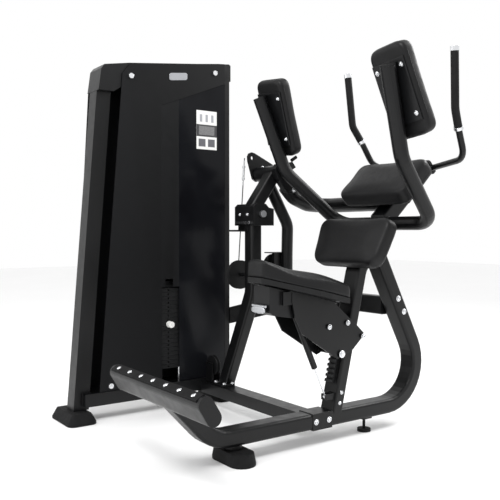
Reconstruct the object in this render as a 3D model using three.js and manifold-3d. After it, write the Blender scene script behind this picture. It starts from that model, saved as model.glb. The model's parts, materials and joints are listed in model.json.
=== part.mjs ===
// Ab crunch machine: weight tower, welded base with a leaning rear loop, sliding seat,
// fixed lumbar pad and a swinging yoke with arm pads, upper back pad and handles.
// Millimetres, +Z up, +Y towards the weight tower, -X towards the foot bar.
import * as THREE from 'three';
import { mergeVertices } from 'three/addons/utils/BufferGeometryUtils.js';
import Module from 'manifold-3d';

const wasm = await Module();
wasm.setup();

// ---- driving dimensions ----
const ORIGIN_X = -48.15;           // centre of the plan box, from the machine's own datum
const ORIGIN_Y = 259.1;
const TUBE_W = 80, TUBE_H = 61;  // base tube
const LOOP_R = 176;              // rear bend, on the centreline
const PIVOT_X = 108, PIVOT_Z = 1100;
const YOKE_R = 28.5, YOKE_Y = 373, YOKE_IN = 338;   // tube radius, half spread at the tops and at the knees
const TOE = Math.atan2(YOKE_Y - YOKE_IN, 332) * 180 / Math.PI;
const PAD_L = 350, PAD_W = 178, PAD_T = 60;
const SEAT_SLOPE = 0.244;
const STACK_X0 = -381, STACK_X1 = -61, PLATE = 19, PLATES = 19;
const PIN_X = -231, PIN_Z = 394;
const ROD_X = [-301, -141], ROD_Y = 862;
const SEG = 20;

const group = new THREE.Group();
group.name = 'ab_crunch_machine';

// ---- solids ----
function solid(geometry) {
  const g = geometry.index ? geometry.toNonIndexed() : geometry.clone();
  for (const key of Object.keys(g.attributes)) if (key !== 'position') g.deleteAttribute(key);
  const m = mergeVertices(g, 1e-4);
  return new wasm.Manifold(new wasm.Mesh({
    numProp: 3,
    vertProperties: new Float32Array(m.attributes.position.array),
    triVerts: new Uint32Array(m.index.array),
  }));
}
const join = (...list) => list.flat().reduce((a, b) => a.add(b));
const cut = (a, ...list) => list.flat().reduce((m, b) => m.subtract(b), a);

function shapeOf(points) {
  const s = new THREE.Shape();
  let area = 0;
  points.forEach((p, i) => {
    const q = points[(i + 1) % points.length];
    area += p[0] * q[1] - q[0] * p[1];
  });
  const list = area < 0 ? [...points].reverse() : points;
  list.forEach((p, i) => (i ? s.lineTo(p[0], p[1]) : s.moveTo(p[0], p[1])));
  s.closePath();
  return s;
}
const flat = (points, depth) => new THREE.ExtrudeGeometry(shapeOf(points), { depth, bevelEnabled: false });
// outline in x and z, from y0 to y1
function prismY(points, y0, y1) {
  const g = flat(points, y1 - y0);
  g.rotateX(Math.PI / 2);
  g.translate(0, y1, 0);
  return solid(g);
}
// outline in y and z, from x0 to x1
function prismX(points, x0, x1) {
  const g = flat(points, x1 - x0);
  g.applyMatrix4(new THREE.Matrix4().makeBasis(
    new THREE.Vector3(0, 1, 0), new THREE.Vector3(0, 0, 1), new THREE.Vector3(1, 0, 0)));
  g.translate(x0, 0, 0);
  return solid(g);
}
function prismZ(points, z0, z1) {
  const g = flat(points, z1 - z0);
  g.translate(0, 0, z0);
  return solid(g);
}
function box(x0, x1, y0, y1, z0, z1) {
  const g = new THREE.BoxGeometry(x1 - x0, y1 - y0, z1 - z0);
  g.translate((x0 + x1) / 2, (y0 + y1) / 2, (z0 + z1) / 2);
  return solid(g);
}
function rr(w, h, r, n = 3) {
  const out = [];
  const corners = [[w / 2 - r, h / 2 - r, 0], [-w / 2 + r, h / 2 - r, 90], [-w / 2 + r, -h / 2 + r, 180], [w / 2 - r, -h / 2 + r, 270]];
  for (const [cx, cy, a0] of corners) {
    for (let i = 0; i <= n; i++) {
      const a = (a0 + (90 * i) / n) * Math.PI / 180;
      out.push([cx + r * Math.cos(a), cy + r * Math.sin(a)]);
    }
  }
  return out;
}
function ring(r, n = SEG) {
  return Array.from({ length: n }, (_, i) => [r * Math.cos((2 * Math.PI * i) / n), r * Math.sin((2 * Math.PI * i) / n)]);
}
// polyline with its corners rounded
function bend(points, radii, stepDeg = 12) {
  const P = points.map((p) => new THREE.Vector3(...p));
  const out = [P[0]];
  for (let i = 1; i < P.length - 1; i++) {
    const a = P[i - 1].clone().sub(P[i]).normalize();
    const b = P[i + 1].clone().sub(P[i]).normalize();
    const between = a.angleTo(b);
    const turn = Math.PI - between;
    const r = Array.isArray(radii) ? radii[i - 1] : radii;
    if (turn < 0.02 || !r) { out.push(P[i]); continue; }
    const d = r * Math.tan(turn / 2);
    const centre = P[i].clone().add(a.clone().add(b).normalize().multiplyScalar(r / Math.cos(turn / 2)));
    const from = P[i].clone().addScaledVector(a, d).sub(centre);
    const axis = from.clone().cross(P[i].clone().addScaledVector(b, d).sub(centre)).normalize();
    const n = Math.max(2, Math.ceil((turn * 180) / Math.PI / stepDeg));
    for (let k = 0; k <= n; k++) {
      out.push(centre.clone().add(from.clone().applyAxisAngle(axis, (turn * k) / n)));
    }
  }
  out.push(P[P.length - 1]);
  return out;
}
class BentPath extends THREE.Curve {
  constructor(points, side) { super(); this.points = points; this.side = side; }
  getPoint(t) {
    const s = t * (this.points.length - 1);
    const i = Math.min(Math.floor(s), this.points.length - 2);
    return this.points[i].clone().lerp(this.points[i + 1], s - i);
  }
  getSpacedPoints() { return this.points.map((p) => p.clone()); }
  computeFrenetFrames() {
    const p = this.points, tangents = [], normals = [], binormals = [];
    const n = this.side.clone();
    for (let i = 0; i < p.length; i++) {
      const t = new THREE.Vector3();
      if (i > 0) t.add(p[i].clone().sub(p[i - 1]).normalize());
      if (i < p.length - 1) t.add(p[i + 1].clone().sub(p[i]).normalize());
      t.normalize();
      n.addScaledVector(t, -n.dot(t)).normalize();
      tangents.push(t);
      normals.push(n.clone());
      binormals.push(t.clone().cross(n));
    }
    return { tangents, normals, binormals };
  }
}
// section swept on a path; the section's first axis stays along `side`
function sweep(section, points, side = [0, 1, 0]) {
  const path = new BentPath(points, new THREE.Vector3(...side));
  return solid(new THREE.ExtrudeGeometry(shapeOf(section), { steps: points.length - 1, extrudePath: path, bevelEnabled: false }));
}
const V = (p) => new THREE.Vector3(...p);
function rod(p, q, r, n = SEG) {
  const d = V(q).sub(V(p));
  const side = Math.abs(d.clone().normalize().y) > 0.9 ? [1, 0, 0] : [0, 1, 0];
  return sweep(ring(r, n), [V(p), V(q)], side);
}
// box lying along a direction in the x-z plane: u along, v across, y width
function slab(cx, cy, cz, angle, u, w, t, r = 6, n = 3) {
  // angle: direction of the long side from +X towards +Z, in degrees
  const a = (angle * Math.PI) / 180;
  const d = [Math.cos(a), 0, Math.sin(a)];
  const p = [cx - d[0] * u / 2, cy, cz - d[2] * u / 2], q = [cx + d[0] * u / 2, cy, cz + d[2] * u / 2];
  return sweep(rr(w, t, r, n), [V(p), V(q)]);
}
// upholstered panel: rounded outline w by l, thickness t, its face normal in the x-z plane
function pad(cx, cy, cz, normalDeg, w, l, t, r, edge, n = 5, taper = 0) {
  const layers = [[-t / 2, edge], [-t / 2 + edge * 0.4, edge * 0.25], [-t / 2 + edge, 0], [t / 2 - edge, 0], [t / 2 - edge * 0.4, edge * 0.25], [t / 2, edge]];
  const rings = layers.map(([d, inset]) => {
    const o = rr(w - 2 * inset, l - 2 * inset, Math.max(r - inset, 4), n);
    return o.map(([x, y]) => [x * (1 - taper * y / l), y, d]);
  });
  const a = (normalDeg * Math.PI) / 180;
  const nx = Math.cos(a), nz = Math.sin(a);
  const pos = [], idx = [], m = rings[0].length;
  // width along +Y, length along (-nz, nx), depth along the normal
  for (const ringPts of rings) for (const [x, y, d] of ringPts) pos.push(cx + d * nx - y * nz, cy + x, cz + d * nz + y * nx);
  for (let k = 0; k < rings.length - 1; k++) for (let i = 0; i < m; i++) {
    const j = (i + 1) % m, A = k * m + i, B = k * m + j, C = (k + 1) * m + j, D = (k + 1) * m + i;
    idx.push(A, C, B, A, D, C);
  }
  const top = (rings.length - 1) * m;
  for (let i = 1; i < m - 1; i++) { idx.push(0, i, i + 1); idx.push(top, top + i + 1, top + i); }
  const g = new THREE.BufferGeometry();
  g.setAttribute('position', new THREE.Float32BufferAttribute(pos, 3));
  g.setIndex(idx);
  let s = solid(g);
  if (s.volume() < 0) { const f = []; for (let i = 0; i < idx.length; i += 3) f.push(idx[i], idx[i + 2], idx[i + 1]); g.setIndex(f); s = solid(g); }
  return s;
}

// ---- finishes ----
const FINISH = {
  black_frame: [0x16171a, 0.45, 0.4], panel_black: [0x101114, 0.4, 0.3], tinted: [0x07080a, 0.08, 0.0],
  rubber: [0x0c0c0d, 0.85, 0.0], upholstery: [0x0e0e10, 0.6, 0.0], chrome: [0xd4d6da, 0.12, 1.0],
  steel: [0x9a9da2, 0.35, 1.0], stack: [0x1b1c1f, 0.55, 0.3], plastic: [0x111214, 0.5, 0.0],
  white: [0xe8e8e6, 0.5, 0.0], cable: [0x0a0a0b, 0.5, 0.0], badge: [0xb9bcc1, 0.3, 0.8],
};
function add(name, manifold, finish) {
  const mesh = manifold.translate([-ORIGIN_X, -ORIGIN_Y, 0]).getMesh();
  const indexed = new THREE.BufferGeometry();
  indexed.setAttribute('position', new THREE.Float32BufferAttribute(Float32Array.from(mesh.vertProperties), 3));
  indexed.setIndex(Array.from(mesh.triVerts));
  indexed.computeVertexNormals();
  const [color, roughness, metalness] = FINISH[finish];
  const node = new THREE.Mesh(indexed, new THREE.MeshStandardMaterial({ color, roughness, metalness, name: finish }));
  node.name = name;
  group.add(node);
  return manifold;
}

// ---- base: low tube, rear loop, seat post, cross tube ----
const mainPath = bend([[-684, 0, 277], [-512, 0, 93], [661, 0, 93], [282, 0, 793]], [150, LOOP_R], 10);
const mainTube = sweep(rr(TUBE_W, TUBE_H, 12), mainPath);
const seatPost = sweep(rr(80, 48, 7, 2), bend([[63, 0, 104], [216, 0, 728], [334, 0, 722]], [80], 12));
const rackAt = (z) => 42 + (z - 117) * 0.247;
const rack = prismY([[rackAt(232) - 24, 232], [rackAt(232) + 8, 232], [rackAt(404) + 8, 404], [rackAt(404) - 24, 404]], -20, 20);
const crossTube = box(-58, 17, 30, 789.7, 58, 110);
const footNeck = rod([-410, 0, 45.3], [-410, 0, 90], 30, 24);
const boss = join(rod([251, 0, 54], [251, 0, 90], 16, 16), box(226, 276, -22, 22, 54, 66));
// lumbar pad bracket, square to the pad
const D_TILT = 23, dn = [-Math.cos(D_TILT * Math.PI / 180), 0, Math.sin(D_TILT * Math.PI / 180)];
const dFace = [152, 0, 801];
const dAt = (off) => [dFace[0] - dn[0] * off, 0, dFace[2] - dn[2] * off];
const dBack = dAt(76);
const lumbarPlate = slab(dBack[0], 0, dBack[2], 90 - D_TILT, 150, 200, 8, 3, 1);
const lumbarArm = rod(dAt(74), dAt(150), 22, 16);
// spring lug on the seat post
const lug = join(box(12, 62, -30, -23.5, 166, 190), box(12, 62, -6.5, 0, 166, 190), box(44, 64, -30, 0, 164, 192));
// bosses for the loop's joint bolts
const sleeve = box(-66, 34, -42, 42, 60, 125.5);
const lowerFork = join(box(-44, -38, 714, 770, 108, 205), box(-2, 4, 714, 770, 108, 205));
const lowerAxle = rod([-44, 742, 190], [4, 742, 190], 8, 16);
let base = join(mainTube, seatPost, rack, crossTube, footNeck, boss, lumbarPlate, lumbarArm, lug, sleeve, lowerFork, lowerAxle);
base = cut(base, rod([251, 0, 50], [251, 0, 104], 6.6, 16));
// rack teeth on the front of the seat post
for (let i = 0; i < 8; i++) {
  const z = 248 + i * 20, x = rackAt(z) - 24;
  base = cut(base, box(x - 12, x + 9, -30, 30, z - 4.5, z + 4.5));
}
const barGrow = sweep(rr(54.8, 106.8, 26.9, 6), [V([-710, -340, 290]), V([-710, 340, 290])], [Math.cos(31 * Math.PI / 180), 0, Math.sin(31 * Math.PI / 180)]);
base = cut(base, barGrow);

// ---- foot bar ----
const barSide = [Math.cos(31 * Math.PI / 180), 0, Math.sin(31 * Math.PI / 180)];
const bar = (w, h, r, y0, y1, n = 4) => sweep(rr(w, h, r, n), [V([-710, y0, 290]), V([-710, y1, 290])], barSide);
let footBar = bar(54, 106, 26.5, -309, 309, 6);
// rubber strip sits in a flat along the top edge
const up = [-Math.sin(31 * Math.PI / 180), 0, Math.cos(31 * Math.PI / 180)];
const stripAt = (o) => [-710 + up[0] * o, 290 + up[2] * o];
const stripBox = (w, t, o, y0, y1, r = 2) => { const [x, z] = stripAt(o); return sweep(rr(w, t, r, 1), [V([x, y0, z]), V([x, y1, z])], barSide); };
footBar = cut(footBar, stripBox(60, 20, 56.3, -300, 300, 1));
add('foot_bar', footBar, 'black_frame');
add('foot_bar_strip', stripBox(34, 7, 50.3, -299, 299), 'rubber');
add('foot_bar_cap_left', bar(54, 106, 26.5, 309.3, 315, 6), 'plastic');
add('foot_bar_cap_right', bar(54, 106, 26.5, -315, -309.3, 6), 'plastic');

// ---- feet ----

// stacked outlines joined into one closed shape
function loft(layers) {
  const pos = [], idx = [], m = layers[0].points.length;
  for (const { points, z } of layers) for (const [x, y] of points) pos.push(x, y, z);
  for (let k = 0; k < layers.length - 1; k++) for (let i = 0; i < m; i++) {
    const j = (i + 1) % m, A = k * m + i, B = k * m + j, C = (k + 1) * m + j, D = (k + 1) * m + i;
    idx.push(A, B, C, A, C, D);
  }
  const top = (layers.length - 1) * m;
  for (let i = 1; i < m - 1; i++) { idx.push(0, i + 1, i); idx.push(top, top + i, top + i + 1); }
  const g = new THREE.BufferGeometry();
  g.setAttribute('position', new THREE.Float32BufferAttribute(pos, 3));
  g.setIndex(idx);
  return solid(g);
}
const footStack = (cx, cy, w, l, h, r, flare) => loft([[0, flare * 0.06], [3, 0], [h * 0.24, 0], [h * 0.34, flare * 0.15], [h * 0.9, flare * 0.85], [h, flare]].map(([z, inset]) => ({
  z, points: rr(w - 2 * inset, l - 2 * inset, Math.max(8, r - inset), 5).map(([x, y]) => [cx + x, cy + y]),
})));
const towerFoot = (cx, cy, w, l) => footStack(cx, cy, w, l, 48, 30, 22);
add('front_foot', footStack(-410, 0, 102, 204, 45, 50, 7), 'rubber');
add('tower_foot_front', towerFoot(-675, 862, 130, 235), 'rubber');
add('tower_foot_rear', towerFoot(75, 862, 110, 235), 'rubber');
add('levelling_foot', join(rod([251, 0, 0], [251, 0, 12], 28, 24), rod([251, 0, 11], [251, 0, 84], 6, 16)), 'rubber');

// ---- weight tower ----
const baseBeam = box(-650, 110, 790, 925, 66, 122.8);
const frontPost = prismY([[-692, 48.3], [-621, 48.3], [-508, 1465], [-575, 1465]], 824, 900);
const rearPost = box(83, 110, 796, 922, 110, 1600);
const rearFootPost = box(44, 104, 824, 900, 48.3, 80);
const pulleyMount = join(box(-214, -168, 830, 836, 1440, 1560), box(-214, -168, 888, 894, 1440, 1560), rod([-188, 830, 1465], [-188, 894, 1465], 8, 16));
const capOutline = [[-577, 1457], [-563, 1553], [-548, 1572], [-428, 1594], [112, 1662], [121, 1655], [121, 1578], [-440, 1500], [-505, 1457]];
const cap = prismY(capOutline, 801, 925);
let tower = join(baseBeam, frontPost, rearPost, rearFootPost, cap, pulleyMount);
const rodTop = (x) => 1530 + (x + 301) * 0.139;
for (const x of ROD_X) tower = cut(tower, rod([x, ROD_Y, 112], [x, ROD_Y, rodTop(x) + 0.6], 11.5, 24));
add('tower_frame', tower, 'black_frame');
ROD_X.forEach((x, i) => add(i ? 'guide_rod_rear' : 'guide_rod_front', rod([x, ROD_Y, 112.5], [x, ROD_Y, rodTop(x)], 11, 24), 'chrome'));
const frontPanel = prismY([[-582, 124], [-465, 1542], [-428, 1588], [45, 1654], [82.5, 1657.5], [82.5, 1558], [75, 1557], [-228, 1435], [-270, 1420], [-270, 124]], 795, 800.5);
// fastener heads proud of the panel
const screws = [[-423, 1535], [25, 1606], [-528, 146]].map(([x, z]) => rod([x, 790, z], [x, 796, z], 12, 20));
add('front_panel', frontPanel, 'panel_black');
screws.forEach((s, i) => add(`panel_screw_${i + 1}`, cut(s, frontPanel.translate([0, -0.3, 0])), 'chrome'));
let shroud = prismY([[-269.5, 575], [-177.5, 575], [-177.5, 1455], [-228, 1434.4], [-269.5, 1419.5]], 796, 799.5);
shroud = cut(shroud, box(-252, -210, 790, 805, 570, 612));
add('shroud', shroud, 'panel_black');
let tinted = prismY([[-177, 124], [82.5, 124], [82.5, 1557.5], [74, 1556], [-177, 1454.8]], 796.5, 799.5);
add('tinted_panel', tinted, 'tinted');
add('rear_cover', prismY([[-652, 104], [-572, 1462], [-556, 1556], [-440, 1588], [100, 1650], [100, 104]], 925.5, 930), 'panel_black');
add('placard', box(-80, 35, 795.2, 796.2, 1232, 1418), 'white');
add('badge', prismY(rr(98, 34, 10, 3).map(([x, z]) => [x * 0.99 - 180, z + 1563 + x * 0.13]), 793.5, 794.7), 'badge');

// ---- weight stack ----
let stackZ = 190;
const plates = [];
for (let i = 0; i < PLATES; i++) plates.push(box(STACK_X0, STACK_X1, 805, 920, stackZ + i * 20, stackZ + i * 20 + PLATE - 1));
let stack = join(box(STACK_X0 + 4, STACK_X1 - 4, 809, 916, stackZ, stackZ + PLATES * 20 - 2), plates);
for (const x of ROD_X) stack = cut(stack, rod([x, ROD_Y, 180], [x, ROD_Y, 640], 12.5, 20));
for (let i = 0; i < PLATES; i++) stack = cut(stack, rod([PIN_X, 800, 204 + i * 20 - 5], [PIN_X, i === 10 ? 866 : 812, 204 + i * 20 - 5], i === 10 ? 5.4 : 4.6, 8));
add('weight_stack', stack, 'stack');
const pinZ = 204 + 10 * 20 - 5;
let head = join(box(STACK_X0 + 10, STACK_X1 - 10, 822, 902, 568.4, 600), rod([-221, 862, 599], [-221, 862, 628], 14, 16));
for (const x of ROD_X) head = cut(head, rod([x, ROD_Y, 560], [x, ROD_Y, 640], 12.5, 20));
add('stack_head', head, 'black_frame');
add('selector_pin', join(rod([PIN_X, 772, pinZ], [PIN_X, 800, pinZ], 15, 20), rod([PIN_X, 799, pinZ], [PIN_X, 864, pinZ], 4.6, 12)), 'white');

// ---- arm pivot post with housing, rear leg and bracket ----
const leg = sweep(rr(56, 60, 9), bend([[-6, 650, 118], [-6, 436.5, 560], [-6, 436.5, 955]], [90], 10), [1, 0, 0]);
const lean = sweep(rr(60, 56, 9), [V([-10, 436.5, 936]), V([108, 436.5, 1100])]);
const housing = rod([108, 412, 1100], [108, 545, 1100], 34, 32);
const rearLeg = sweep(ring(27), bend([[104, 500, 1098], [242, 500, 866], [239, 500, 720], [239, 500, 480]], [70, 60], 12));
const basePlate = box(-52, 12, 606, 700, 110.3, 122);
let bracket = prismY([[-38, 861], [72, 861], [72, 936], [44, 941], [28, 957], [-24, 957], [-38, 944]], 386, 533);
bracket = join(bracket, prismY([[-50, 834], [30, 834], [30, 842], [-50, 842]], 440, 560));
const lowerPlate = box(-20, 14, 470, 532, 840, 864);
const axle1 = rod([0, 460, 637], [0, 566, 637], 8, 16);
const flat2 = join(box(172, 262, 512, 530, 640, 736), box(168, 250, 526, 584, 732, 737));
const axle2 = rod([205, 525, 672], [205, 576, 672], 8, 16);
let pivotPost = join(leg, lean, housing, rearLeg, basePlate, bracket, lowerPlate, axle1, flat2, axle2);
pivotPost = cut(pivotPost, rod([108, 400, 1100], [108, 560, 1100], 16, 48));
const beamPath = bend([[418, 42, 514], [418, 330, 514], [250, 520, 500], [112, 850, 405]], [60, 90], 10);
const beamSide = [1, 0, 0];
const rearBeam = sweep(rr(50, 80, 8), beamPath, beamSide);
const rearBeamGrow = sweep(rr(50.8, 80.8, 8), beamPath, beamSide);
pivotPost = cut(pivotPost, rearBeamGrow);
// keep clear of the base's lower tube
pivotPost = cut(pivotPost, box(-60, 20, 560, 760, 60, 110.2));
add('pivot_post', pivotPost, 'black_frame');
const towerRearGrow = box(82.6, 110.4, 789.6, 926, 60, 1600);
add('rear_beam', cut(rearBeam, towerRearGrow, sweep(rr(TUBE_W + 0.8, TUBE_H + 0.8, 12), mainPath), box(60, 110.4, 789, 926, 300, 520)), 'black_frame');
add('base_frame', base, 'black_frame');
add('bracket_nut', rod([6, 372, 912], [6, 385.6, 912], 15, 24), 'steel');
add('bracket_bar', box(-46, -38.4, 410, 516, 868, 880), 'chrome');

// ---- pulleys ----
function pulley(x, y, z, r, half, axis) {
  const prof = [[8.3, -half], [r, -half], [r, -half + 3], [r - 9, -2.5], [r - 9, 2.5], [r, half - 3], [r, half], [8.3, half], [8.3, -half]];
  const g = new THREE.LatheGeometry(prof.map(([a, b]) => new THREE.Vector2(a, b)), 32);
  if (axis === 'x') g.rotateZ(-Math.PI / 2);
  g.translate(x, y, z);
  let s = solid(g);
  if (s.volume() < 0) { const p = g.clone(); const ix = Array.from(p.index.array); for (let i = 0; i < ix.length; i += 3) { const t = ix[i + 1]; ix[i + 1] = ix[i + 2]; ix[i + 2] = t; } p.setIndex(ix); s = solid(p); }
  return s;
}
add('pulley_front', pulley(0, 550, 637, 66, 10, 'y'), 'plastic');
add('pulley_rear', pulley(205, 560, 672, 56, 10, 'y'), 'plastic');
add('pulley_lower', pulley(-20, 742, 190, 48, 10, 'x'), 'plastic');
add('pulley_top', pulley(-188, 862, 1465, 33, 10, 'y'), 'plastic');

// ---- seat carriage, on the seat post ----
const seatZ = (x) => 608 - (x + 168) * SEAT_SLOPE;
const side = [[-190, seatZ(-190) - 6.6], [-190, 571], [-175, 511], [-138, 445], [40, 333], [124, 364], [182, 413], [184, 424], [153, 452], [105, 489], [24, seatZ(24) - 6.6]];
const plateL = prismY(side, 59, 65), plateR = prismY(side, -65, -59);
const topPlate = prismY([[-200, seatZ(-200) - 0.4], [34, seatZ(34) - 0.4], [34, seatZ(34) - 7], [-200, seatZ(-200) - 7]], -65, 65);
const spacers = [[58, 352], [89, 473], [-8, 464], [178, 413]].map(([x, z]) => rod([x, -72, z], [x, 72, z], 8, 14));
const frontBlock = cut(prismY([[-284, 608], [-284, 534], [-262, 522], [-176, 508], [-150, 560], [-150, seatZ(-150) - 5], [-284, seatZ(-284) - 5]], -50, 50), box(-186, -110, -24, -6, 480, 575));
const blockTie = join(box(-230, -170, -62, 62, 560, 610));
let carriage = join(plateL, plateR, topPlate, spacers, cut(join(frontBlock, blockTie), box(-186, -110, -24, -6, 480, 575)));
carriage = cut(carriage, prismY([[-400, seatZ(-400) - 0.4], [100, seatZ(100) - 0.4], [100, 760], [-400, 760]], -100, 100));
add('seat_carriage', carriage, 'black_frame');
const board = prismY([[-345, seatZ(-345)], [46, seatZ(46)], [46, seatZ(46) + 20], [-345, seatZ(-345) + 20]], -150, 150);
const seatPlan = (inset) => {
  const pts = [[-324, 50], [-316, 58], [-288, 67], [-240, 84], [-170, 118], [-110, 143], [-60, 150], [30, 150], [44, 144], [50, 130]];
  const up = pts.map(([x, y]) => [x + (x < -149 ? inset : -inset) * (x < -310 || x > 40 ? 1 : 0), y - inset]);
  return [...up, ...up.map(([x, y]) => [x, -y]).reverse()];
};
const seatBoard = board.intersect(prismZ(seatPlan(7), 400, 800));
add('seat_board', seatBoard, 'plastic');
const cush = (t) => prismY([[-349, seatZ(-349) + 20.4], [50, seatZ(50) + 20.4], [50, seatZ(50) + 20.4 + t - 12], [36, seatZ(36) + 20.4 + t], [-120, seatZ(-120) + 18 + t], [-240, seatZ(-240) + 22 + t], [-330, seatZ(-330) + 24 + t], [-349, seatZ(-349) + 10 + t]], -150, 150);
add('seat_cushion', cush(63).intersect(prismZ(seatPlan(0), 400, 800)), 'upholstery');
add('release_paddle', join(box(-303, -299, -41, 41, 530, 556), rod([-296, -41, 558], [-296, 41, 558], 5, 12), prismY([[-303, 553], [-299, 553], [-296, 558], [-298, 561]], -41, 41)), 'steel');

// ---- gas spring ----
const SL = [21, -15, 178], SU = [-140, -15, 520];
const sd = [(SU[0] - SL[0]), 0, (SU[2] - SL[2])], sl = Math.hypot(sd[0], sd[2]), su = [sd[0] / sl, 0, sd[2] / sl];
const along = (d) => [SL[0] + su[0] * d, -15, SL[2] + su[2] * d];
add('gas_rod', join(rod([21, -21, 178], [21, -9, 178], 9, 16), rod(along(4), along(166), 3.6, 12)), 'chrome');
let cyl = join(rod(along(134), along(sl - 14), 12, 20), rod(along(sl - 30), along(sl), 5, 12), rod([-140, -20, 520], [-140, -10, 520], 9, 16));
cyl = cut(cyl, rod(along(130), along(sl - 40), 9.6, 20));
add('gas_cylinder', cyl, 'black_frame');

// ---- lumbar pad ----
const dc = dAt(31);
const lumbarPad = pad(dc[0], 0, dc[2], 180 - D_TILT, 404, 214, 62, 48, 13, 5, 0.12);
add('lumbar_pad', lumbarPad, 'upholstery');
const db = dAt(67);
add('lumbar_board', slab(db[0], 0, db[2], 90 - D_TILT, 170, 320, 9, 3, 1), 'plastic');

// ---- swinging arm ----
const yokePath = bend([[-15, -YOKE_Y, 1410], [98, -YOKE_IN, 1098], [358, -264, 868], [358, 264, 868], [98, YOKE_IN, 1098], [-15, YOKE_Y, 1410]], [120, 90, 90, 120], 10);
const yoke = sweep(ring(YOKE_R), yokePath, [1, 0, 0]);
const supportTube = sweep(rr(80, 68, 10), [V([345, 0, 878]), V([612, 0, 1118])]);
const gusset = prismY([[345, 872], [368, 934], [420, 934], [396, 880]], -6, 6);
const shaft = rod([108, 388, 1100], [108, 566, 1100], 15.7, 48);
const hubPlate = prismY([[70, 1112], [88, 1136], [122, 1140], [150, 1120], [196, 1072], [210, 1040], [176, 1006], [140, 1010], [92, 1064]], 374, 405.4);
const stopArm = prismY([[110, 1100], [150, 1096], [204, 1128], [184, 1152], [130, 1140]], 392, 405.4);
const leverPath = bend([[168, 424, 1040], [215, 424, 993], [300, 424, 962], [408, 424, 958], [408, 20, 958]], [60, 90, 60, 66], 12);
const lever = sweep(ring(34), leverPath, [0, 0, 1]);
let armFrame = join(yoke, supportTube, gusset, shaft, hubPlate, stopArm, lever);
// clearance round the fixed housing
armFrame = cut(armFrame, cut(rod([108, 411.5, 1100], [108, 545.5, 1100], 35, 32), rod([108, 405, 1100], [108, 560, 1100], 15.7, 48)));
const crank = cut(prismY([[55, 1196], [68, 1202], [84, 1199], [190, 1152], [196, 1140], [140, 1080], [96, 1066], [76, 1078], [50, 1160], [48, 1182]], 548, 560), rod([72, 540, 1176], [72, 570, 1176], 9, 16));
armFrame = join(armFrame, crank);
// upper back pad bracket
const cDir = [0.727, 0, 0.687], cN = [-0.687, 0, 0.727];
const cFace = [347.5, 0, 1071.5];
const cAt = (off) => [cFace[0] - cN[0] * off, 0, cFace[2] - cN[2] * off];
const cBr = cAt(107);
armFrame = join(armFrame, slab(cBr[0], 0, cBr[2], 43.4, 90, 60, 30, 6, 2), slab(cAt(89)[0], 0, cAt(89)[2], 43.4, 130, 160, 7, 3, 1));
add('arm_frame', armFrame, 'black_frame');
add('hub_bolt', rod([126, 367.6, 1102], [126, 373.6, 1102], 16, 24), 'chrome');
add('stop_block', slab(190, 398.8, 1150, 32, 34, 12, 14, 3, 1).translate([7, 0, 17]), 'rubber');
const cc = cAt(37);
add('upper_back_pad', pad(cc[0] - 4, 0, cc[2] - 4, 133.4, 398, 228, 74, 42, 14, 5), 'upholstery');
add('upper_back_board', slab(cAt(80)[0], 0, cAt(80)[2], 43.4, 180, 330, 9.4, 3, 1), 'plastic');

// turns a solid about a line through a point
function turn(m, c, axis, deg) {
  const M = new THREE.Matrix4().makeTranslation(c[0], c[1], c[2])
    .multiply(new THREE.Matrix4().makeRotationAxis(new THREE.Vector3(...axis).normalize(), (deg * Math.PI) / 180))
    .multiply(new THREE.Matrix4().makeTranslation(-c[0], -c[1], -c[2]));
  return m.transform(M.elements);
}
const tubeN = [0.9403, 0, 0.3405];
const padY = 358;
for (const [tag, y] of [['right', -padY], ['left', padY]]) {
  const lean2 = y > 0 ? TOE : -TOE;
  const c = [81.4, y, 1337.5], n = (o) => [c[0] - tubeN[0] * o, y, c[2] - tubeN[2] * o];
  add(`arm_pad_${tag}`, turn(pad(c[0], y, c[2], 19.9, PAD_W, PAD_L, PAD_T, 34, 13, 5), c, tubeN, lean2), 'upholstery');
  const p = n(33.6);
  add(`arm_pad_plate_${tag}`, turn(slab(p[0], y, p[2], 109.9, 230, 150, 6, 2.8, 2), c, tubeN, lean2), 'black_frame');
  const s = Math.sign(y), e = [-0.3386, 0.105 * s, 0.935];
  add(`yoke_cap_${tag}`, rod([-15 + e[0] * 0.5, YOKE_Y * s + e[1] * 0.5, 1410 + e[2] * 0.5], [-15 + e[0] * 7, YOKE_Y * s + e[1] * 7, 1410 + e[2] * 7], 28.5, 20), 'plastic');
}

// ---- handles ----
// each grip runs from the top down past the bend to a plated collar; the tube carries on below it
const barTop = (k) => [508, 272.2 * k, 1243.5];
const handlePath = bend([barTop(-1), [568, -256, 1135], [642, 0, 1113], [568, 256, 1135], barTop(1)], [70, 60, 70], 12);
let handleBar = sweep(ring(13.5, 16), handlePath, [1, 0, 0]);
handleBar = join(handleBar, slab(627, 0, 1120, 42, 14, 84, 68, 10, 2));
const supportGrow = sweep(rr(80.8, 68.8, 10), [V([345, 0, 878]), V([612.3, 0, 1118.3])]);
handleBar = cut(handleBar, supportGrow);
add('handle_bar', handleBar, 'black_frame');
for (const [tag, k] of [['right', -1], ['left', 1]]) {
  const a = V([506, 273 * k, 1247]), b = V([461, 290 * k, 1323]), c = V([441, 301 * k, 1550]);
  const d = b.clone().sub(a).normalize(), e = c.clone().sub(b).normalize();
  const at = (p, q, t) => p.clone().addScaledVector(q, t).toArray();
  add(`grip_collar_${tag}`, rod(at(a, d, 0), at(a, d, 13), 20, 20), 'chrome');
  add(`grip_${tag}`, sweep(ring(16.5, 18), bend([at(a, d, 13.4), b.toArray(), at(b, e, 224)], [60], 12), [1, 0, 0]), 'rubber');
  add(`grip_cap_${tag}`, rod(at(b, e, 224.4), at(b, e, 243), 18, 20), 'chrome');
}

// ---- cables ----
add('lift_cable', rod([-221, 862, 628.4], [-221, 862, 1465], 2.5, 8), 'cable');
add('drive_cable', rod([48, 578, 1176], [12, 578, 655], 2.5, 8), 'cable');

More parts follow.
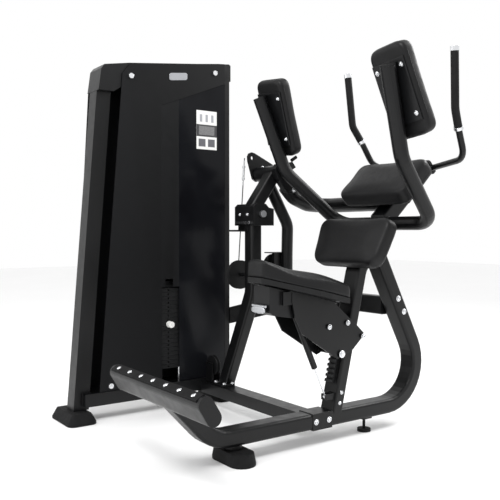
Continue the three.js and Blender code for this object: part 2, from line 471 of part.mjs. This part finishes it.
export default group;
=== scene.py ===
import json
import math

import bmesh
import bpy
import numpy as np
from mathutils import Matrix, Vector
from mathutils.bvhtree import BVHTree


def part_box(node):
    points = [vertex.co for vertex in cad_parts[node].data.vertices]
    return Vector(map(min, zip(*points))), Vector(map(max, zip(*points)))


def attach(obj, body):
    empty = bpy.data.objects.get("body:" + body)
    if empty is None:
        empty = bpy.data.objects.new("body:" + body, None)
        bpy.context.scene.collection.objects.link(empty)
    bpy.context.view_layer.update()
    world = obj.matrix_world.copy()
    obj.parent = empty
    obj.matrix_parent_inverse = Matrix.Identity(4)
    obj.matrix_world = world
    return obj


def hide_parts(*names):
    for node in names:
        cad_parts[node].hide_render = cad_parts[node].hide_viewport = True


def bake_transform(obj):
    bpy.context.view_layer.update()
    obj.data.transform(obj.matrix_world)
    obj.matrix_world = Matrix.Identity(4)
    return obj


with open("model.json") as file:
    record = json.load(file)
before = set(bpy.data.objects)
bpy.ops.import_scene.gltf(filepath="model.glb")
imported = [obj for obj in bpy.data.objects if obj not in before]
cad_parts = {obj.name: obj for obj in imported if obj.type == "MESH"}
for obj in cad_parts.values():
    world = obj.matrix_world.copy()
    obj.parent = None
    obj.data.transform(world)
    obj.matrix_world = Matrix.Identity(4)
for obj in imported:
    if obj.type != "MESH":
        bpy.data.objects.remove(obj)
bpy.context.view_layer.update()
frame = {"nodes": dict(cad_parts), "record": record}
NODES = frame["nodes"]
SC = bpy.context.scene
OX, OY = -48.15, 259.1            # plan shift between the machine's datum and the row frame, mm


def P(x, y, z):
    return Vector(((x - OX) / 1000.0, (y - OY) / 1000.0, z / 1000.0))


# ---------------------------------------------------------------- camera
cam_data = bpy.data.cameras.new("camera")
cam_data.lens = 50.0
cam_data.sensor_width = 36.0
cam_data.clip_end = 60.0
cam = bpy.data.objects.new("camera", cam_data)
SC.collection.objects.link(cam)
head = Vector((0.5845, 0.8114, -math.tan(math.radians(1.44)))).normalized()
cam.location = P(-1826, -2067, 830)
cam.rotation_euler = head.to_track_quat("-Z", "Y").to_euler()
SC.camera = cam

# ---------------------------------------------------------------- materials


class Mat:
    def __init__(self, name, color, rough, metal=0.0):
        self.m = bpy.data.materials.new(name)
        self.m.use_nodes = True
        self.t = self.m.node_tree
        self.t.nodes.clear()
        self.out = self.t.nodes.new("ShaderNodeOutputMaterial")
        self.b = self.t.nodes.new("ShaderNodeBsdfPrincipled")
        self.t.links.new(self.b.outputs["BSDF"], self.out.inputs["Surface"])
        self.b.inputs["Base Color"].default_value = (*color, 1)
        self.b.inputs["Roughness"].default_value = rough
        self.b.inputs["Metallic"].default_value = metal
        self.color, self.rough = color, rough
        self.m.diffuse_color = (*color, 1)
        tc = self.n("ShaderNodeTexCoord")
        self.co = tc.outputs["Object"]

    def n(self, kind, **props):
        node = self.t.nodes.new(kind)
        for k, v in props.items():
            setattr(node, k, v)
        return node

    def link(self, a, b):
        self.t.links.new(a, b)

    def noise(self, scale, detail=4.0, rough=0.55, stretch=None):
        node = self.n("ShaderNodeTexNoise")
        node.inputs["Scale"].default_value = scale
        node.inputs["Detail"].default_value = detail
        node.inputs["Roughness"].default_value = rough
        if stretch:
            mp = self.n("ShaderNodeMapping")
            mp.inputs["Scale"].default_value = stretch
            self.link(self.co, mp.inputs["Vector"])
            self.link(mp.outputs["Vector"], node.inputs["Vector"])
        else:
            self.link(self.co, node.inputs["Vector"])
        return node.outputs["Fac"]

    def ramp(self, fac, stops):
        r = self.n("ShaderNodeValToRGB")
        el = r.color_ramp.elements
        while len(el) > 1:
            el.remove(el[-1])
        el[0].position, el[0].color = stops[0][0], (*stops[0][1], 1)
        for p, c in stops[1:]:
            e = el.new(p)
            e.color = (*c, 1)
        self.link(fac, r.inputs["Fac"])
        return r.outputs["Color"]

    def spread(self, fac, lo, hi):
        r = self.n("ShaderNodeMapRange")
        r.inputs["From Min"].default_value = 0.25
        r.inputs["From Max"].default_value = 0.75
        r.inputs["To Min"].default_value = lo
        r.inputs["To Max"].default_value = hi
        self.link(fac, r.inputs["Value"])
        return r.outputs["Result"]

    def mix(self, fac, a, b):
        x = self.n("ShaderNodeMix", data_type="RGBA")
        self.link(fac, x.inputs[0])
        for sock, val in ((x.inputs[6], a), (x.inputs[7], b)):
            if isinstance(val, tuple):
                sock.default_value = (*val, 1)
            else:
                self.link(val, sock)
        return x.outputs[2]

    def bump(self, layers, bevel=0.0):
        """layers: (height, strength, distance)"""
        last = None
        if bevel:
            bv = self.n("ShaderNodeBevel", samples=6)
            bv.inputs["Radius"].default_value = bevel
            last = bv.outputs["Normal"]
        for h, s, d in layers:
            b = self.n("ShaderNodeBump")
            b.inputs["Strength"].default_value = s
            b.inputs["Distance"].default_value = d
            self.link(h, b.inputs["Height"])
            if last is not None:
                self.link(last, b.inputs["Normal"])
            last = b.outputs["Normal"]
        if last is not None:
            self.link(last, self.b.inputs["Normal"])

    def edge(self, lo=0.52, hi=0.60):
        g = self.n("ShaderNodeNewGeometry")
        r = self.n("ShaderNodeMapRange")
        r.inputs["From Min"].default_value = lo
        r.inputs["From Max"].default_value = hi
        self.link(g.outputs["Pointiness"], r.inputs["Value"])
        return r.outputs["Result"]


def scaled(c, k):
    return tuple(min(1.0, v * k) for v in c)


def paint(name, color, rough, bevel=0.003, coat=0.15, peel=0.12, spec=0.24):
    m = Mat(name, color, rough)
    big = m.noise(3.5, 3)
    fine = m.noise(620, 2)
    c = m.ramp(big, [(0.3, scaled(color, 0.82)), (0.7, scaled(color, 1.22))])
    wear = m.mix(m.edge(0.53, 0.64), c, scaled(color, 2.2))
    m.link(wear, m.b.inputs["Base Color"])
    m.link(m.spread(m.noise(26, 5), rough - 0.06, rough + 0.08), m.b.inputs["Roughness"])
    m.b.inputs["Coat Weight"].default_value = coat
    m.b.inputs["Coat Roughness"].default_value = 0.22
    m.b.inputs["Specular IOR Level"].default_value = spec
    m.bump([(fine, peel, 0.0004)], bevel)
    return m.m


def leather(name, color):
    m = Mat(name, color, 0.46)
    v = m.n("ShaderNodeTexVoronoi", feature="F1")
    v.inputs["Scale"].default_value = 520
    m.link(m.co, v.inputs["Vector"])
    v2 = m.n("ShaderNodeTexVoronoi", feature="DISTANCE_TO_EDGE")
    v2.inputs["Scale"].default_value = 300
    m.link(m.co, v2.inputs["Vector"])
    big = m.noise(9, 4)
    crease = m.noise(45, 6, 0.65)
    m.link(m.ramp(big, [(0.3, scaled(color, 0.8)), (0.72, scaled(color, 1.3))]), m.b.inputs["Base Color"])
    m.link(m.spread(crease, 0.40, 0.56), m.b.inputs["Roughness"])
    m.b.inputs["Sheen Weight"].default_value = 0.01
    m.b.inputs["Specular IOR Level"].default_value = 0.26
    m.bump([(crease, 0.10, 0.002), (v2.outputs["Distance"], 0.22, 0.0006), (v.outputs["Distance"], 0.12, 0.0003)])
    return m.m


def rubber(name, color, rough=0.75, bevel=0.002):
    m = Mat(name, color, rough)
    m.link(m.ramp(m.noise(14, 5), [(0.3, scaled(color, 0.8)), (0.7, scaled(color, 1.4))]), m.b.inputs["Base Color"])
    m.link(m.spread(m.noise(60, 4), rough - 0.1, rough + 0.1), m.b.inputs["Roughness"])
    m.b.inputs["Specular IOR Level"].default_value = 0.2
    m.bump([(m.noise(800, 2), 0.3, 0.0005)], bevel)
    return m.m


def metal(name, color, rough, brushed=None, bevel=0.0015):
    m = Mat(name, color, rough, 1.0)
    m.link(m.ramp(m.noise(7, 4), [(0.3, scaled(color, 0.86)), (0.7, scaled(color, 1.08))]), m.b.inputs["Base Color"])
    m.link(m.spread(m.noise(90, 5, 0.6, brushed), max(0.04, rough - 0.05), rough + 0.09), m.b.inputs["Roughness"])
    m.bump([(m.noise(400, 3, 0.5, brushed), 0.06, 0.0003)], bevel)
    return m.m


def moulded(name, color, rough=0.5):
    m = Mat(name, color, rough)
    m.link(m.ramp(m.noise(10, 4), [(0.3, scaled(color, 0.85)), (0.7, scaled(color, 1.25))]), m.b.inputs["Base Color"])
    m.link(m.spread(m.noise(120, 3), rough - 0.07, rough + 0.07), m.b.inputs["Roughness"])
    m.b.inputs["Specular IOR Level"].default_value = 0.28
    m.bump([(m.noise(1100, 2), 0.22, 0.0003)], 0.0015)
    return m.m


def tinted_sheet(name):
    m = Mat(name, (0.004, 0.0045, 0.005), 0.16)
    m.link(m.ramp(m.noise(2.5, 3), [(0.3, (0.003, 0.003, 0.004)), (0.7, (0.007, 0.0075, 0.009))]), m.b.inputs["Base Color"])
    m.link(m.spread(m.noise(5, 5), 0.12, 0.24), m.b.inputs["Roughness"])
    m.b.inputs["Specular IOR Level"].default_value = 0.14
    m.bump([(m.noise(6, 2), 0.03, 0.001)])
    return m.m


def strands(name):
    m = Mat(name, (0.010, 0.010, 0.011), 0.42)
    w = m.n("ShaderNodeTexWave", wave_type="BANDS", bands_direction="DIAGONAL")
    w.inputs["Scale"].default_value = 160
    m.link(m.co, w.inputs["Vector"])
    m.link(m.ramp(w.outputs["Fac"], [(0.2, (0.006, 0.006, 0.007)), (0.8, (0.02, 0.02, 0.022))]), m.b.inputs["Base Color"])
    m.bump([(w.outputs["Fac"], 0.4, 0.0005)])
    return m.m


def placard(name):
    # rows of plain grey blocks: nothing on it can be read
    m = Mat(name, (0.75, 0.75, 0.73), 0.45)
    sep = m.n("ShaderNodeSeparateXYZ")
    m.link(m.co, sep.inputs[0])
    lo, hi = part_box("placard")

    def rng(sock, a, b):
        r = m.n("ShaderNodeMapRange")
        r.inputs["From Min"].default_value = a
        r.inputs["From Max"].default_value = b
        m.link(sock, r.inputs["Value"])
        return r.outputs["Result"]

    def math_(op, a, b):
        x = m.n("ShaderNodeMath", operation=op)
        for i, v in enumerate((a, b)):
            if v is None:
                continue
            if isinstance(v, (int, float)):
                x.inputs[i].default_value = v
            else:
                m.link(v, x.inputs[i])
        return x.outputs[0]

    u = rng(sep.outputs["X"], lo.x, hi.x)
    v = rng(sep.outputs["Z"], lo.z, hi.z)

    def inside(s, a, b):
        return math_("MULTIPLY", math_("GREATER_THAN", s, a), math_("LESS_THAN", s, b))

    def rect(a, b, c, d):
        return math_("MULTIPLY", inside(u, a, b), inside(v, c, d))

    lines = math_("GREATER_THAN", math_("FRACT", math_("MULTIPLY", v, 62.0), None), 0.55)
    text = math_("MULTIPLY", lines, rect(0.12, 0.88, 0.37, 0.60))
    header = rect(0.0, 1.0, 0.33, 0.64)
    tiles = [rect(0.16, 0.28, 0.71, 0.90), rect(0.44, 0.56, 0.71, 0.90), rect(0.72, 0.84, 0.71, 0.90), rect(0.10, 0.44, 0.07, 0.27), rect(0.56, 0.90, 0.07, 0.27)]
    base = m.mix(header, (0.74, 0.74, 0.72), (0.03, 0.03, 0.032))
    base = m.mix(text, base, (0.30, 0.30, 0.30))
    for i, t in enumerate(tiles):
        base = m.mix(t, base, (0.10, 0.10, 0.11) if i > 2 else (0.30, 0.31, 0.33))
    m.link(base, m.b.inputs["Base Color"])
    m.link(m.spread(m.noise(60, 3), 0.38, 0.5), m.b.inputs["Roughness"])
    m.bump([(m.noise(500, 2), 0.05, 0.0003)])
    return m.m


MATS = {
    "black_frame": paint("black_frame_look", (0.0026, 0.0027, 0.0030), 0.34, coat=0.06),
    "panel_black": paint("panel_black_look", (0.0022, 0.0023, 0.0026), 0.46, bevel=0.0012, coat=0.0, peel=0.05, spec=0.16),
    "tinted": tinted_sheet("tinted_look"),
    "rubber": rubber("rubber_look", (0.0045, 0.0045, 0.0048)),
    "upholstery": leather("upholstery_look", (0.0030, 0.0030, 0.0034)),
    "chrome": metal("chrome_look", (0.78, 0.79, 0.81), 0.16),
    "steel": metal("steel_look", (0.52, 0.53, 0.55), 0.34, (1, 12, 1)),
    "stack": paint("stack_look", (0.004, 0.0042, 0.0046), 0.46, bevel=0.001, coat=0.0),
    "plastic": moulded("plastic_look", (0.0040, 0.0041, 0.0045)),
    "white": moulded("white_look", (0.78, 0.78, 0.76), 0.4),
    "cable": strands("cable_look"),
    "badge": metal("badge_look", (0.42, 0.43, 0.45), 0.3, (12, 1, 1)),
}
GRIP = rubber("grip_look", (0.005, 0.005, 0.0054), 0.62)
PLAC = placard("placard_look")

slot_of = {s["node"]: s["material_slot"] for s in frame["record"]["subparts"]}


def assign(obj, mat):
    obj.data.materials.clear()
    obj.data.materials.append(mat)


for name, obj in NODES.items():
    assign(obj, MATS[slot_of[name]])
for g in ("grip_left", "grip_right"):
    assign(NODES[g], GRIP)
assign(NODES["placard"], PLAC)


# ---------------------------------------------------------------- small hardware
def new_obj(name, bm, mat, smooth=True):
    me = bpy.data.meshes.new(name)
    bm.to_mesh(me)
    bm.free()
    if smooth:
        for p in me.polygons:
            p.use_smooth = True
        me.set_sharp_from_angle(angle=math.radians(38))
    ob = bpy.data.objects.new(name, me)
    SC.collection.objects.link(ob)
    me.materials.append(mat)
    return ob


def basis(axis):
    a = Vector(axis).normalized()
    return a.to_track_quat("Z", "Y").to_matrix().to_4x4()


def lathe(bm, profile, origin, axis, seg=28):
    """closed turned solid: profile of (radius, height) from the axis out and back to it, in mm"""
    M = Matrix.Translation(origin) @ basis(axis)
    rings = []
    for r, h in profile:
        if r < 1e-6:
            rings.append([bm.verts.new(M @ Vector((0, 0, h / 1000)))])
        else:
            rings.append([bm.verts.new(M @ Vector((r / 1000 * math.cos(2 * math.pi * i / seg), r / 1000 * math.sin(2 * math.pi * i / seg), h / 1000))) for i in range(seg)])
    for a, b in zip(rings, rings[1:]):
        for i in range(seg):
            j = (i + 1) % seg
            if len(a) == 1 and len(b) == 1:
                continue
            if len(a) == 1:
                bm.faces.new((a[0], b[i], b[j]))
            elif len(b) == 1:
                bm.faces.new((a[i], a[j], b[0]))
            else:
                bm.faces.new((a[i], a[j], b[j], b[i]))
    bmesh.ops.recalc_face_normals(bm, faces=bm.faces[:])


def socket_bolt(bm, origin, axis, r=9, h=7):
    """domed button head with a socket, on a washer"""
    lathe(bm, [(0, -0.4), (r * 1.28, -0.4), (r * 1.32, 0.3), (r * 1.28, 1.3), (r, 1.5), (r * 0.98, h * 0.45), (r * 0.85, h * 0.8), (r * 0.62, h), (r * 0.42, h), (r * 0.40, h * 0.55), (0, h * 0.5)], origin, axis, 24)


def hex_bolt(bm, origin, axis, r=9, h=8):
    lathe(bm, [(0, -0.4), (r * 1.35, -0.4), (r * 1.4, 0.4), (r * 1.3, 1.4), (r * 1.02, 1.6), (0, 1.6)], origin, axis, 24)
    lathe(bm, [(0, 1.3), (r, 1.3), (r, h * 0.88), (r * 0.86, h), (r * 0.4, h), (r * 0.34, h * 0.9), (0, h * 0.9)], origin, axis, 6)


def hardware(name, body, items, slot="chrome"):
    bm = bmesh.new()
    for kind, origin, axis, r, h in items:
        (hex_bolt if kind == "hex" else socket_bolt)(bm, origin, axis, r, h)
    ob = new_obj(name, bm, MATS[slot])
    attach(ob, body)
    return ob


base_items = []
for x in (-49, 18):
    base_items.append(("button", P(x, -42.0, 93), (0, -1, 0), 9, 7))
for x, z in ((414, 549), (449, 491)):
    base_items.append(("button", P(x, -40.0, z), (0, -1, 0), 10, 7))
for x, z in ((76, 150), (86, 190)):
    base_items.append(("button", P(x, -40.0, z), (0, -1, 0), 6, 5))
hardware("base_bolts", "frame", base_items)

foot_dir = Vector((math.cos(math.radians(31)), 0, math.sin(math.radians(31))))
foot_up = Vector((-math.sin(math.radians(31)), 0, math.cos(math.radians(31))))
bm = bmesh.new()
for i in range(7):
    y = -262 + i * 87.3
    c = P(-710 + foot_up.x * 53.6, y, 290 + foot_up.z * 53.6)
    lathe(bm, [(0, -0.3), (9, -0.3), (9.2, 0.6), (7.5, 2.2), (4.5, 3.2), (0, 3.5)], c, foot_up, 22)
studs = new_obj("foot_bar_studs", bm, MATS["chrome"])
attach(studs, "frame")

# seat carriage hardware
seat_items = []
for x, z, kind, r in ((58, 352, "hex", 11), (89, 473, "button", 8), (-8, 464, "button", 8), (173, 413, "button", 8)):
    for s in (-1, 1):
        seat_items.append((kind, P(x, 72.0 * s, z), (0, s, 0), r, 7))
hardware("carriage_bolts", "seat", seat_items)
board_items = []
for x in (-168, 12):
    for y in (-43, 43):
        nz = Vector((-0.237, 0, -0.9715))
        board_items.append(("button", P(x, y, 608 - (x + 168) * 0.244 - 7.2), nz, 6, 5))
hardware("seat_board_bolts", "seat", board_items)

# pads' plates
arm_items = []
tubeN = Vector((0.9403, 0, 0.3405)).normalized()
tubeD = Vector((-0.3405, 0, 0.9403)).normalized()
TOE = math.degrees(math.atan2(35, 332))
for sgn in (-1, 1):
    lean = Matrix.Rotation(math.radians(TOE * sgn), 3, tubeN)
    c = P(81.4, 358 * sgn, 1337.5) - tubeN * 0.0366
    for du in (-0.088, 0.088):
        for dv in (-0.058, 0.058):
            arm_items.append(("button", c + lean @ (tubeD * du + Vector((0, dv, 0))), -tubeN, 7, 6))
hardware("arm_pad_bolts", "arm", arm_items)
hub_items = []
for x, z in ((176, 1022), (186, 1060)):
    hub_items.append(("button", P(x, 374, z), (0, -1, 0), 8, 7))
for x, z in ((130, 1130),):
    hub_items.append(("button", P(x, 548, z), (0, -1, 0), 9, 7))
hardware("hub_plate_bolts", "arm", hub_items)
handle_items = []
for y in (-26, 26):
    handle_items.append(("button", P(635.2, y, 1126), Vector((0.743, 0, 0.669)), 7, 6))
hardware("handle_bolts", "arm", handle_items)

post_items = []
for x, y in ((-40, 618), (0, 618), (-40, 688), (0, 688)):
    post_items.append(("hex", P(x, y, 122), (0, 0, 1), 8, 8))
for y in (436, 494):
    post_items.append(("button", P(-38, y, 910), (-1, 0, 0), 6, 5))
hardware("pivot_post_bolts", "frame", post_items)
pul_items = [("button", P(0, 566, 637), (0, 1, 0), 9, 7), ("button", P(205, 576, 672), (0, 1, 0), 9, 7), ("hex", P(4, 742, 190), (1, 0, 0), 9, 8)]
hardware("pulley_bolts", "frame", pul_items)


# release paddle: a pressed oval plate on the CAD paddle's own place
lo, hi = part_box("release_paddle")
pc = (lo + hi) / 2
bm = bmesh.new()
n_out = 40
half_y, half_z = (hi.y - lo.y) / 2, (hi.z - lo.z) / 2 * 0.78
rings = []
for off, ins in ((0.0, 0.0012), (0.0012, 0.0), (0.0034, 0.0), (0.0048, 0.0014), (0.0052, 0.004)):
    ring_ = []
    for i in range(n_out):
        a = 2 * math.pi * i / n_out
        ca, sa = math.cos(a), math.sin(a)
        k = (abs(ca) ** 3.2 + abs(sa) ** 3.2) ** (-1 / 3.2)
        ring_.append(bm.verts.new((lo.x + 0.0052 - off, pc.y + ca * k * (half_y - ins), lo.z + half_z + sa * k * (half_z - ins) + 0.0005)))
    rings.append(ring_)
for A, B in zip(rings, rings[1:]):
    for i in range(n_out):
        bm.faces.new((A[i], A[(i + 1) % n_out], B[(i + 1) % n_out], B[i]))
bm.faces.new(rings[0][::-1])
bm.faces.new(rings[-1])
seg_ = 16
A = [bm.verts.new((lo.x + 0.0075 + 0.0048 * math.cos(2 * math.pi * i / seg_), pc.y - half_y, hi.z - 0.0052 + 0.0048 * math.sin(2 * math.pi * i / seg_))) for i in range(seg_)]
B = [bm.verts.new((v.co.x, pc.y + half_y, v.co.z)) for v in A]
for i in range(seg_):
    bm.faces.new((A[i], A[(i + 1) % seg_], B[(i + 1) % seg_], B[i]))
bm.faces.new(A[::-1])
bm.faces.new(B)
bmesh.ops.recalc_face_normals(bm, faces=bm.faces[:])
paddle = new_obj("paddle_plate", bm, MATS["steel"])
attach(paddle, "release_paddle")
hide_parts("release_paddle")


# ---------------------------------------------------------------- upholstery
def relax(ob, times, factor=0.5):
    bm = bmesh.new()
    bm.from_mesh(ob.data)
    for _ in range(times):
        bmesh.ops.smooth_vert(bm, verts=bm.verts, factor=factor, use_axis_x=True, use_axis_y=True, use_axis_z=True)
    bm.to_mesh(ob.data)
    bm.free()


def upholster(name, node, body, normal, shrink=0.965, cap=0.012, pressure=4.0, voxel=0.005, depth=1.0, pin_depth=0.010, shape=None, soft=6):
    """Copies the CAD solid a little smaller, remeshes it, inflates it as cloth with its back held to the board, and caps the swell."""
    src = NODES[node]
    me = src.data.copy()
    me.name = name
    ob = bpy.data.objects.new(name, me)
    SC.collection.objects.link(ob)
    ob.matrix_world = Matrix.Identity(4)
    nrm = Vector(normal).normalized()
    co = [v.co.copy() for v in me.vertices]
    centre = sum(co, Vector()) / len(co)
    back = min((c - centre).dot(nrm) for c in co)
    for v in me.vertices:
        d = v.co - centre
        h = d.dot(nrm)
        flat = d - nrm * h
        v.co = centre + flat * shrink + nrm * (back + (h - back) * depth * (0.5 + 0.5 * shrink))
    bpy.context.view_layer.objects.active = ob
    for o in bpy.context.selected_objects:
        o.select_set(False)
    ob.select_set(True)
    rem = ob.modifiers.new("remesh", "REMESH")
    rem.mode = "VOXEL"
    rem.voxel_size = voxel
    bpy.ops.object.modifier_apply(modifier="remesh")
    if shape:
        for v in ob.data.vertices:
            v.co = shape(v.co)
    relax(ob, soft)
    start = [v.co.copy() for v in ob.data.vertices]
    grp = ob.vertex_groups.new(name="held")
    lo = min((c - centre).dot(nrm) for c in start)
    held = [i for i, c in enumerate(start) if (c - centre).dot(nrm) < lo + pin_depth]
    grp.add(held, 1.0, "REPLACE")
    cl = ob.modifiers.new("cloth", "CLOTH")
    s = cl.settings
    s.quality = 4
    s.mass = 0.3
    s.tension_stiffness = 18
    s.compression_stiffness = 18
    s.shear_stiffness = 8
    s.bending_stiffness = 2.5
    s.use_pressure = True
    s.uniform_pressure_force = pressure
    s.effector_weights.gravity = 0.0
    s.vertex_group_mass = "held"
    cl.collision_settings.use_collision = False
    cl.point_cache.frame_start = 1
    cl.point_cache.frame_end = 20
    for f in range(1, 21):
        SC.frame_set(f)
    dg = bpy.context.evaluated_depsgraph_get()
    moved = [v.co.copy() for v in ob.evaluated_get(dg).data.vertices]
    ob.modifiers.remove(cl)
    ob.vertex_groups.clear()
    move = np.array([b - a for a, b in zip(start, moved)])
    size = np.linalg.norm(move, axis=1)
    move *= np.minimum(1.0, cap / np.maximum(size, 1e-9))[:, None]
    # spread the swell evenly, so the cover stays taut instead of creasing
    ends = np.array([tuple(e.vertices) for e in ob.data.edges])
    count = np.bincount(ends.ravel(), minlength=len(move))[:, None]
    for _ in range(120):
        near = np.zeros_like(move)
        np.add.at(near, ends[:, 0], move[ends[:, 1]])
        np.add.at(near, ends[:, 1], move[ends[:, 0]])
        move = 0.4 * move + 0.6 * near / np.maximum(count, 1)
    for v, a, d in zip(ob.data.vertices, start, move):
        v.co = a + Vector(d)
    SC.frame_set(1)
    relax(ob, 2)
    sub = ob.modifiers.new("sub", "SUBSURF")
    sub.levels = sub.render_levels = 1
    bpy.ops.object.modifier_apply(modifier="sub")
    for p in ob.data.polygons:
        p.use_smooth = True
    assign(ob, MATS["upholstery"])
    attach(ob, body)
    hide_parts(node)
    return ob, centre, nrm


def seam(name, pad_ob, centre, nrm, side, up, body, level, w, l, r=0.0016, taper=0.0, sink=0.0004, n=96, squircle=5.0):
    """A sewn bead round a pad: rays come in from outside at one depth and the bead lies where they land."""
    bm = bmesh.new()
    bm.from_mesh(pad_ob.data)
    tree = BVHTree.FromBMesh(bm)
    bm.free()
    pts = []
    for i in range(n):
        a = 2 * math.pi * i / n
        ca, sa = math.cos(a), math.sin(a)
        # even spacing on a rounded rectangle
        k = (abs(ca) ** squircle + abs(sa) ** squircle) ** (-1 / squircle)
        tgt = centre + nrm * level
        far = tgt + side * (ca * k * w * 0.75) + up * (sa * k * l * 0.75)
        inner = tgt + side * (ca * k * w * 0.30) + up * (sa * k * l * 0.30)
        d = (inner - far)
        hit = tree.ray_cast(far, d.normalized(), d.length)
        if hit[0] is not None:
            pts.append(hit[0] + d.normalized() * sink)
    for _ in range(2):
        pts = [(pts[i - 1] + pts[i] * 2 + pts[(i + 1) % len(pts)]) / 4 for i in range(len(pts))]
    bm = bmesh.new()
    seg = 8
    rings = []
    m = len(pts)
    for i in range(m):
        t = (pts[(i + 1) % m] - pts[i - 1]).normalized()
        a = nrm
        b = t.cross(a).normalized()
        a = b.cross(t).normalized()
        rings.append([bm.verts.new(pts[i] + (a * math.cos(2 * math.pi * k / seg) + b * math.sin(2 * math.pi * k / seg)) * r) for k in range(seg)])
    for i in range(m):
        A, B = rings[i], rings[(i + 1) % m]
        for k in range(seg):
            bm.faces.new((A[k], A[(k + 1) % seg], B[(k + 1) % seg], B[k]))
    bmesh.ops.recalc_face_normals(bm, faces=bm.faces[:])
    ob = new_obj(name, bm, MATS["upholstery"])
    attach(ob, body)
    return ob


Y = Vector((0, 1, 0))
lum_n = Vector((-math.cos(math.radians(23)), 0, math.sin(math.radians(23))))
lum_u = Vector((math.sin(math.radians(23)), 0, math.cos(math.radians(23))))
lumbar, c, nn = upholster("lumbar_cushion", "lumbar_pad", "frame", lum_n)
seam("lumbar_seam", lumbar, c, nn, Y, lum_u, "frame", -0.013, 0.404, 0.214)
back_n = Vector((-0.687, 0, 0.727)).normalized()
back_u = Vector((0.727, 0, 0.687)).normalized()
upper, c, nn = upholster("upper_back_cushion", "upper_back_pad", "arm", back_n)
seam("upper_back_seam", upper, c, nn, Y, back_u, "arm", -0.016, 0.398, 0.228)
for tag, sgn in (("right", -1), ("left", 1)):
    lean = Matrix.Rotation(math.radians(TOE * sgn), 3, tubeN)
    ob, c, nn = upholster(f"arm_cushion_{tag}", f"arm_pad_{tag}", "arm", tubeN)
    seam(f"arm_cushion_seam_{tag}", ob, c, nn, lean @ Y, lean @ tubeD, "arm", -0.013, 0.178, 0.350)


def saddle(co):
    """Nose and rear rise a little, the middle dips, and the sides fall away from the centre line."""
    x = co.x * 1000 + OX
    base = (608 - (x + 168) * 0.244 + 20.4) / 1000.0
    h = max(0.0, co.z - base)
    k = min(1.0, h / 0.045)
    y = co.y + OY / 1000.0
    half = 0.075 + 0.075 * min(1.0, max(0.0, (x + 300) / 230.0))
    dip = -0.010 * math.exp(-((x + 190) / 75.0) ** 2) + 0.004 * math.exp(-((x + 325) / 40.0) ** 2)
    fall = -0.016 * min(1.0, abs(y) / half) ** 3
    return Vector((co.x, co.y, co.z + k * (dip + fall)))


seat, c, nn = upholster("seat_saddle", "seat_cushion", "seat", Vector((0.237, 0, 0.9715)), cap=0.012, pin_depth=0.014, shape=saddle, soft=10)

# ---------------------------------------------------------------- cables: each a straight cord from its fixed end to its moving end
def cord(name, node, fixed, moving, rad=0.0025, steps=40, seg=10):
    bm = bmesh.new()
    d = (moving - fixed).normalized()
    a = Y
    b = d.cross(a).normalized()
    rings = []
    for i in range(steps + 1):
        p = fixed.lerp(moving, i / steps)
        rings.append([bm.verts.new(p + (a * math.cos(2 * math.pi * k / seg) + b * math.sin(2 * math.pi * k / seg)) * rad) for k in range(seg)])
    for A, B in zip(rings, rings[1:]):
        for k in range(seg):
            bm.faces.new((A[k], A[(k + 1) % seg], B[(k + 1) % seg], B[k]))
    bm.faces.new(rings[0])
    bm.faces.new(rings[-1][::-1])
    bmesh.ops.recalc_face_normals(bm, faces=bm.faces[:])
    ob = new_obj(name, bm, MATS["cable"])
    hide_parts(node)
    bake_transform(ob)
    return ob


top, low = P(48, 578, 1176), P(12, 578, 655)
cord("drive_cable_run", "drive_cable", low, top)
cord("lift_cable_run", "lift_cable", P(-221, 862, 1465), P(-221, 862, 628.4))
bm = bmesh.new()
lathe(bm, [(0, 0), (3.2, 0), (3.2, 22), (6.2, 24), (6.6, 34), (4.6, 36), (4.6, 78), (6.6, 80), (6.2, 90), (3.2, 92), (3.2, 116), (0, 116)], top + (low - top).normalized() * 0.012, low - top, 20)
buckle = new_obj("cable_turnbuckle", bm, MATS["chrome"])
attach(buckle, "arm")

# ---------------------------------------------------------------- floor and light
bm = bmesh.new()
bmesh.ops.create_grid(bm, x_segments=1, y_segments=1, size=14)
floor_mat = Mat("floor_look", (0.93, 0.93, 0.93), 0.7)
floor_mat.link(floor_mat.ramp(floor_mat.noise(1.2, 2), [(0.2, (0.92, 0.92, 0.92)), (0.8, (0.94, 0.94, 0.94))]), floor_mat.b.inputs["Base Color"])
floor = new_obj("floor", bm, floor_mat.m, smooth=False)
floor.location = (0, 0, -0.0005)

SC.view_settings.view_transform = "Standard"
SC.view_settings.look = "None"
world = bpy.data.worlds.new("studio")
SC.world = world
world.use_nodes = True
wt = world.node_tree
bg = wt.nodes["Background"]
bg.inputs["Color"].default_value = (1, 1, 1, 1)
bg.inputs["Strength"].default_value = 1.0


def area(name, loc, target, size, power, shape_y=None):
    d = bpy.data.lights.new(name, "AREA")
    d.energy = power
    d.size = size
    if shape_y:
        d.shape = "RECTANGLE"
        d.size_y = shape_y
    ob = bpy.data.objects.new(name, d)
    SC.collection.objects.link(ob)
    ob.location = loc
    ob.rotation_euler = (Vector(target) - Vector(loc)).to_track_quat("-Z", "Y").to_euler()
    return ob


area("key", (-2.4, -1.6, 3.8), (0, 0, 0.8), 1.3, 95)
area("rim", (2.6, -0.6, 3.0), (0.1, 0, 0.9), 1.2, 70)
area("side", (-3.0, 1.6, 2.0), (-0.2, 0.2, 0.9), 1.0, 20, 2.4)
